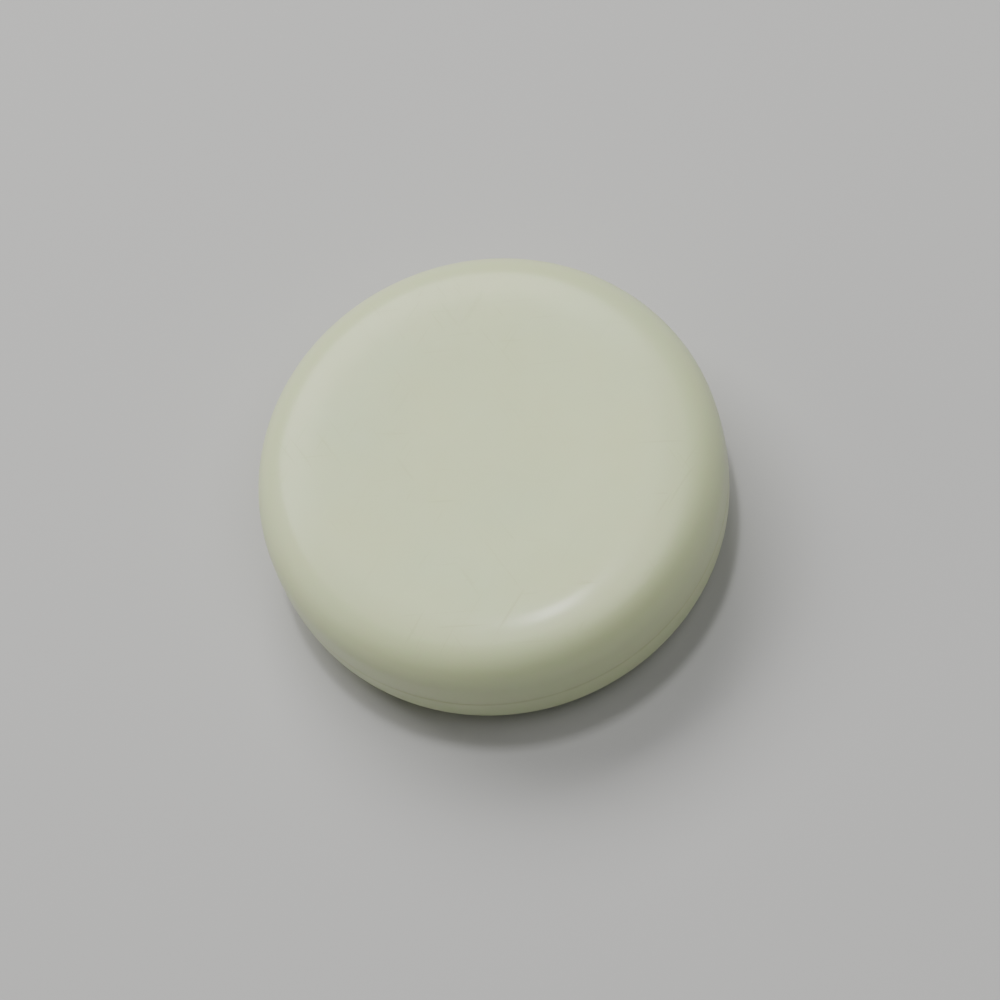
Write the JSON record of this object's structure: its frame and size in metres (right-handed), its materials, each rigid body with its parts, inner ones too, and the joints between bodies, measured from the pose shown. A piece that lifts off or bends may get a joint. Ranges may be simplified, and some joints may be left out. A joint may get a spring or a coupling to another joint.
{
  "type": "dealer button",
  "caption": "Thick round off-white puck with softly rolled edges and shallow dished faces, laid on a card table to mark the player who deals.",
  "frame": {"origin": "centre of the button at the level of its lower land ring, where it rests on the table", "axes": "+Z is the button's axis, up from the table. The button is round, so +X and +Y have no meaning outside. Inside, +X runs through the first press pin"},
  "size_m": [0.0508, 0.0508, 0.0159],
  "materials": {
    "shell_plastic": "satin, moulded, slightly polished by handling",
    "slug_steel": "zinc plated",
    "pad_foam": "matte closed-cell foam"
  },
  "bodies": {
    "root": {"upper_shell": "shell_plastic", "lower_shell": "shell_plastic", "weight_slug": "slug_steel", "upper_foam_pad": "pad_foam", "lower_foam_pad": "pad_foam"}
  },
  "joints": []
}
